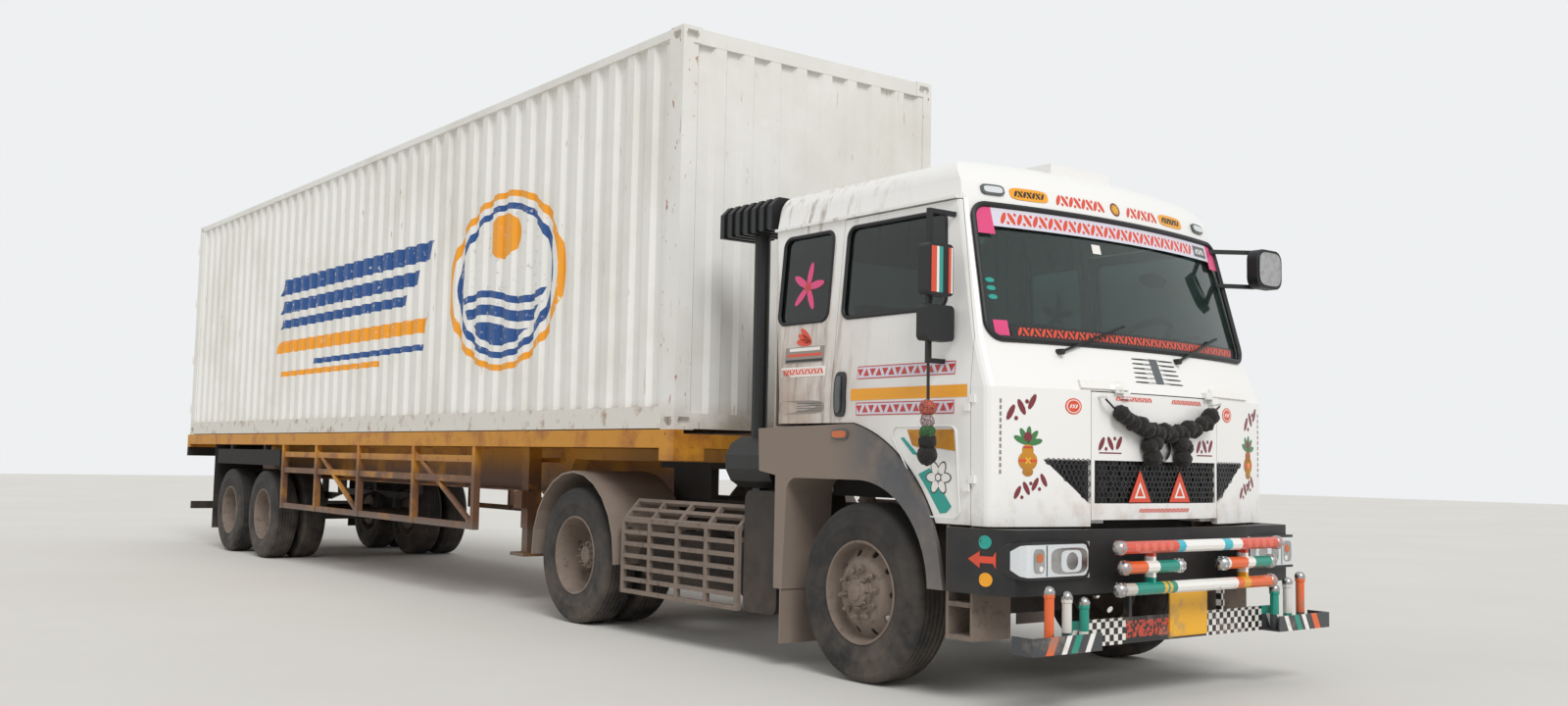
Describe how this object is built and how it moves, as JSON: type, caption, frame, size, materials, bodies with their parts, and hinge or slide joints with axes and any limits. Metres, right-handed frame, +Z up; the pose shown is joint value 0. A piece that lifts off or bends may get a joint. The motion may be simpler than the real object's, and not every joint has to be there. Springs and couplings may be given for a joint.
{
  "type": "decorated articulated lorry with box body",
  "caption": "Forward-control tractor unit with decorated front, hinged to a flat semi-trailer that carries a corrugated box with rear doors; steering, wheels, doors and front flap move.",
  "frame": {"origin": "on the ground, in the middle of the lorry's length and width", "axes": "+Z up, the lorry faces -Y, its right side is at -X"},
  "size_m": [2.929, 15.807, 4.376],
  "materials": {
    "tyre": "worn black rubber",
    "rim": "dusty grey enamel",
    "chassis": "dusty dark enamel",
    "iron": "oily cast iron",
    "cab_white": "white enamel",
    "grey_plastic": "dusty grey moulding",
    "black_plastic": "black moulding",
    "glass": "clear safety glass",
    "lamp": "clear lens",
    "painted_bars": "painted stripes",
    "board": "painted checks",
    "orange": "orange enamel with rust",
    "box_white": "off-white enamel with rust flecks",
    "wood": "boards",
    "interior": "seat cloth",
    "cord": "black yarn",
    "flap_rubber": "rubber sheet"
  },
  "bodies": {
    "tractor": {"chassis_frame": "chassis", "engine_block": "iron", "front_axle": "iron", "drive_axle": "iron", "fifth_wheel": "iron", "tanks": "grey_plastic", "side_cages": "rim", "mudguards": "grey_plastic", "fenders": "grey_plastic", "steps": "rim", "bumper": "black_plastic", "lamps": "lamp", "guard_rails": "painted_bars", "ornament_board": "board", "cab_floor": "cab_white", "cab_rear_wall": "cab_white", "cab_sides": "cab_white", "cab_roof": "cab_white", "cab_front": "cab_white", "cab_glass": "glass", "cab_interior": "interior", "snorkel": "black_plastic", "wipers": "black_plastic", "mirror_left": "black_plastic"},
    "door_right": {"door_right": "cab_white", "door_pane_right": "glass", "mirror_right": "black_plastic", "tassel": "cord"},
    "door_left": {"door_left": "cab_white", "door_pane_left": "glass"},
    "front_flap": {"front_flap": "cab_white", "grille_mesh": "black_plastic", "garland": "cord"},
    "knuckle_right": {"knuckle_right": "iron"},
    "knuckle_left": {"knuckle_left": "iron"},
    "trailer": {"trailer_frame": "orange", "trailer_axles": "iron", "landing_legs": "orange", "side_racks": "orange", "trailer_flaps": "flap_rubber", "container_floor": "wood", "container_sides": "box_white", "container_front_end": "box_white", "container_rear_frame": "box_white", "container_roof": "box_white"},
    "container_door_right": {"container_door_right": "box_white"},
    "container_door_left": {"container_door_left": "box_white"},
    "front_wheel_right": {"front_tyre_right": "tyre", "front_rim_right": "rim"},
    "drive_wheels_right": {"drive_tyres_right": "tyre", "drive_rims_right": "rim"},
    "trailer_wheels_1_right": {"trailer_wheels_1_right": "tyre"},
    "trailer_wheels_2_right": {"trailer_wheels_2_right": "tyre"},
    "front_wheel_left": {"front_tyre_left": "tyre", "front_rim_left": "rim"},
    "drive_wheels_left": {"drive_tyres_left": "tyre", "drive_rims_left": "rim"},
    "trailer_wheels_1_left": {"trailer_wheels_1_left": "tyre"},
    "trailer_wheels_2_left": {"trailer_wheels_2_left": "tyre"}
  },
  "joints": [
    {"name": "trailer_yaw", "type": "hinge", "parent": "tractor", "child": "trailer", "pos_m": [0, -3.475, 1.25], "axis": [0, 0, 1], "range_deg": [-90, 90]},
    {"name": "steer_right", "type": "hinge", "parent": "tractor", "child": "knuckle_right", "pos_m": [-0.9, -6.375, 0.52], "axis": [0, 0, 1], "range_deg": [-38, 38]},
    {"name": "front_wheel_right", "type": "hinge", "parent": "knuckle_right", "child": "front_wheel_right", "pos_m": [-1.08, -6.375, 0.52], "axis": [1, 0, 0], "continuous": true},
    {"name": "drive_wheels_right", "type": "hinge", "parent": "tractor", "child": "drive_wheels_right", "pos_m": [-0.91, -3.025, 0.52], "axis": [1, 0, 0], "continuous": true},
    {"name": "trailer_wheels_1_right", "type": "hinge", "parent": "trailer", "child": "trailer_wheels_1_right", "pos_m": [-0.91, 4.555, 0.52], "axis": [1, 0, 0], "continuous": true},
    {"name": "trailer_wheels_2_right", "type": "hinge", "parent": "trailer", "child": "trailer_wheels_2_right", "pos_m": [-0.91, 5.865, 0.52], "axis": [1, 0, 0], "continuous": true},
    {"name": "door_right", "type": "hinge", "parent": "tractor", "child": "door_right", "pos_m": [-1.245, -7.293, 1.2], "axis": [0, 0, 1], "range_deg": [0, 70]},
    {"name": "container_door_right", "type": "hinge", "parent": "trailer", "child": "container_door_right", "pos_m": [-1.231, 7.809, 2], "axis": [0, 0, 1], "range_deg": [0, 265]},
    {"name": "steer_left", "type": "hinge", "parent": "tractor", "child": "knuckle_left", "pos_m": [0.9, -6.375, 0.52], "axis": [0, 0, 1], "range_deg": [-38, 38]},
    {"name": "front_wheel_left", "type": "hinge", "parent": "knuckle_left", "child": "front_wheel_left", "pos_m": [1.08, -6.375, 0.52], "axis": [1, 0, 0], "continuous": true},
    {"name": "drive_wheels_left", "type": "hinge", "parent": "tractor", "child": "drive_wheels_left", "pos_m": [0.91, -3.025, 0.52], "axis": [1, 0, 0], "continuous": true},
    {"name": "trailer_wheels_1_left", "type": "hinge", "parent": "trailer", "child": "trailer_wheels_1_left", "pos_m": [0.91, 4.555, 0.52], "axis": [1, 0, 0], "continuous": true},
    {"name": "trailer_wheels_2_left", "type": "hinge", "parent": "trailer", "child": "trailer_wheels_2_left", "pos_m": [0.91, 5.865, 0.52], "axis": [1, 0, 0], "continuous": true},
    {"name": "door_left", "type": "hinge", "parent": "tractor", "child": "door_left", "pos_m": [1.245, -7.293, 1.2], "axis": [0, 0, -1], "range_deg": [0, 70]},
    {"name": "container_door_left", "type": "hinge", "parent": "trailer", "child": "container_door_left", "pos_m": [1.231, 7.809, 2], "axis": [0, 0, -1], "range_deg": [0, 265]},
    {"name": "front_flap", "type": "hinge", "parent": "tractor", "child": "front_flap", "pos_m": [0, -7.598, 1.688], "axis": [-1, 0, 0], "range_deg": [0, 60]}
  ],
  "couplings": [
    {"joint": "steer_left", "follows": "steer_right", "ratio": 1}
  ]
}
